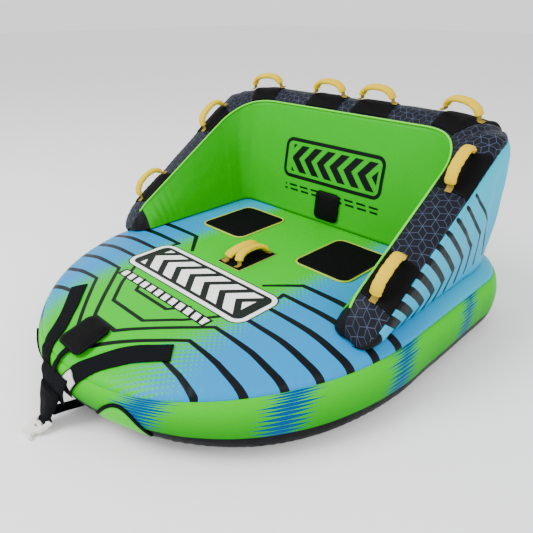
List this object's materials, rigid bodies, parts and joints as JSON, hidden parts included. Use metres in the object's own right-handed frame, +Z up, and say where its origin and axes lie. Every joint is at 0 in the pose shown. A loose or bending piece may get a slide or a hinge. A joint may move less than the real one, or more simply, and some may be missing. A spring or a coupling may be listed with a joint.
{
  "type": "towable tube",
  "caption": "Inflatable towable tube with a flat deck, a U-shaped backrest bolster, sleeved webbing handles, valve flaps and a bow harness with a quick tow connector.",
  "frame": {"origin": "middle of the footprint, on the floor", "axes": "+Z up, bow (tow end) towards -Y, +X towards the riders' left"},
  "size_m": [1.6478, 2.0418, 0.9972],
  "materials": {
    "coated_fabric": "coated nylon over an air bladder",
    "deck": "printed nylon cover",
    "band": "printed nylon side band",
    "bottom": "plain black nylon",
    "inner": "plain bright green nylon",
    "rim": "dark nylon with a fine line print",
    "outer": "blue nylon with dark stripes",
    "piping": "pale green piping",
    "black_pad": "black neoprene pad",
    "webbing": "pale yellow webbing",
    "grip": "yellow foam-filled sleeve",
    "strap": "black harness webbing",
    "label": "blank woven label",
    "connector": "white moulded plastic",
    "valve": "dark moulded valve",
    "zip": "zip tape"
  },
  "bodies": {
    "hull": {"deck_bladder": "coated_fabric", "deck_top_cover": "deck", "deck_side_band": "band", "deck_bottom_cover": "bottom", "backrest_bladder": "coated_fabric", "backrest_inner_panel": "inner", "backrest_rim_panel": "rim", "backrest_outer_panel": "outer", "backrest_piping": "piping", "seat_pad_left": "black_pad", "seat_pad_right": "black_pad", "deck_handle_patch": "black_pad", "rim_handle_1_pad": "black_pad", "rim_handle_2_pad": "black_pad", "rim_handle_3_pad": "black_pad", "rim_handle_4_pad": "black_pad", "rim_handle_5_pad": "black_pad", "rim_handle_6_pad": "black_pad", "rim_handle_7_pad": "black_pad", "rim_handle_8_pad": "black_pad", "deck_valve_base": "valve", "back_valve_base": "valve", "harness_strap_left": "strap", "harness_strap_right": "strap", "harness_centre_strap": "strap", "harness_keel_strap": "strap", "harness_label": "label", "deck_zip_tape": "zip", "bow_patch_left": "band", "bow_patch_right": "band"},
    "rim_handle_1": {"rim_handle_1_webbing": "webbing", "rim_handle_1_grip": "grip"},
    "rim_handle_2": {"rim_handle_2_webbing": "webbing", "rim_handle_2_grip": "grip"},
    "rim_handle_3": {"rim_handle_3_webbing": "webbing", "rim_handle_3_grip": "grip"},
    "rim_handle_4": {"rim_handle_4_webbing": "webbing", "rim_handle_4_grip": "grip"},
    "rim_handle_5": {"rim_handle_5_webbing": "webbing", "rim_handle_5_grip": "grip"},
    "rim_handle_6": {"rim_handle_6_webbing": "webbing", "rim_handle_6_grip": "grip"},
    "rim_handle_7": {"rim_handle_7_webbing": "webbing", "rim_handle_7_grip": "grip"},
    "rim_handle_8": {"rim_handle_8_webbing": "webbing", "rim_handle_8_grip": "grip"},
    "deck_handle_left": {"deck_handle_left_webbing": "webbing", "deck_handle_left_grip": "grip"},
    "deck_handle_right": {"deck_handle_right_webbing": "webbing", "deck_handle_right_grip": "grip"},
    "deck_flap": {"deck_valve_flap": "black_pad"},
    "back_flap": {"back_valve_flap": "black_pad"},
    "deck_cap": {"deck_valve_cap": "valve"},
    "back_cap": {"back_valve_cap": "valve"},
    "towing_sleeve": {"tow_sleeve": "strap", "tow_ring_webbing": "strap"},
    "connector": {"tow_connector": "connector"},
    "zip_pull": {"deck_zip_slider": "connector"}
  },
  "joints": [
    {"name": "rim_handle_1_tilt", "type": "hinge", "parent": "hull", "child": "rim_handle_1", "pos_m": [0.70127, 0.02078, 0.48652], "axis": [-0.0004, 0.8318, 0.5551], "range_deg": [-30, 30], "stiffness_Nm_per_rad": 0.06},
    {"name": "rim_handle_2_tilt", "type": "hinge", "parent": "hull", "child": "rim_handle_2", "pos_m": [0.69971, 0.44414, 0.77216], "axis": [-0.0196, 0.8084, 0.5883], "range_deg": [-30, 30], "stiffness_Nm_per_rad": 0.06},
    {"name": "rim_handle_3_tilt", "type": "hinge", "parent": "hull", "child": "rim_handle_3", "pos_m": [0.54892, 0.70681, 0.91349], "axis": [-0.9752, 0.191, 0.1117], "range_deg": [-30, 30], "stiffness_Nm_per_rad": 0.06},
    {"name": "rim_handle_4_tilt", "type": "hinge", "parent": "hull", "child": "rim_handle_4", "pos_m": [0.13802, 0.71715, 0.92066], "axis": [-1, 0, 0], "range_deg": [-30, 30], "stiffness_Nm_per_rad": 0.06},
    {"name": "rim_handle_5_tilt", "type": "hinge", "parent": "hull", "child": "rim_handle_5", "pos_m": [-0.13802, 0.71715, 0.92066], "axis": [-1, 0, 0], "range_deg": [-30, 30], "stiffness_Nm_per_rad": 0.06},
    {"name": "rim_handle_6_tilt", "type": "hinge", "parent": "hull", "child": "rim_handle_6", "pos_m": [-0.54892, 0.70681, 0.91349], "axis": [-0.9752, -0.191, -0.1117], "range_deg": [-30, 30], "stiffness_Nm_per_rad": 0.06},
    {"name": "rim_handle_7_tilt", "type": "hinge", "parent": "hull", "child": "rim_handle_7", "pos_m": [-0.69971, 0.44414, 0.77216], "axis": [-0.0196, -0.8084, -0.5883], "range_deg": [-30, 30], "stiffness_Nm_per_rad": 0.06},
    {"name": "rim_handle_8_tilt", "type": "hinge", "parent": "hull", "child": "rim_handle_8", "pos_m": [-0.70127, 0.02078, 0.48652], "axis": [-0.0004, -0.8318, -0.5551], "range_deg": [-30, 30], "stiffness_Nm_per_rad": 0.06},
    {"name": "deck_handle_left_tilt", "type": "hinge", "parent": "hull", "child": "deck_handle_left", "pos_m": [0.04, 0.0216, 0.326], "axis": [0, 1, 0], "range_deg": [-3, 50], "stiffness_Nm_per_rad": 0.06},
    {"name": "deck_handle_right_tilt", "type": "hinge", "parent": "hull", "child": "deck_handle_right", "pos_m": [-0.04, 0.0216, 0.326], "axis": [0, 1, 0], "range_deg": [-50, 3], "stiffness_Nm_per_rad": 0.06},
    {"name": "deck_flap_lift", "type": "hinge", "parent": "hull", "child": "deck_flap", "pos_m": [0, -0.68263, 0.30828], "axis": [-1, 0, 0], "range_deg": [0, 110]},
    {"name": "back_flap_lift", "type": "hinge", "parent": "hull", "child": "back_flap", "pos_m": [0, 0.5714, 0.48835], "axis": [-1, 0, 0], "range_deg": [0, 110]},
    {"name": "deck_cap_turn", "type": "hinge", "parent": "hull", "child": "deck_cap", "pos_m": [0, -0.7534, 0.27768], "axis": [0, -0.3511, 0.9363], "range_deg": [0, 270]},
    {"name": "back_cap_turn", "type": "hinge", "parent": "hull", "child": "back_cap", "pos_m": [0, 0.57168, 0.41492], "axis": [0, -0.9944, 0.1052], "range_deg": [0, 270]},
    {"name": "towing_sleeve_lift", "type": "hinge", "parent": "hull", "child": "towing_sleeve", "pos_m": [0, -0.8964, 0.152], "axis": [-1, 0, 0], "range_deg": [0, 60]},
    {"name": "connector_swing", "type": "hinge", "parent": "towing_sleeve", "child": "connector", "pos_m": [0, -0.9454, 0.032], "axis": [-1, 0, 0], "range_deg": [-40, 55]},
    {"name": "zip_slide", "type": "slide", "parent": "hull", "child": "zip_pull", "axis": [1, 0, 0], "range_m": [-0.82, 0]}
  ]
}
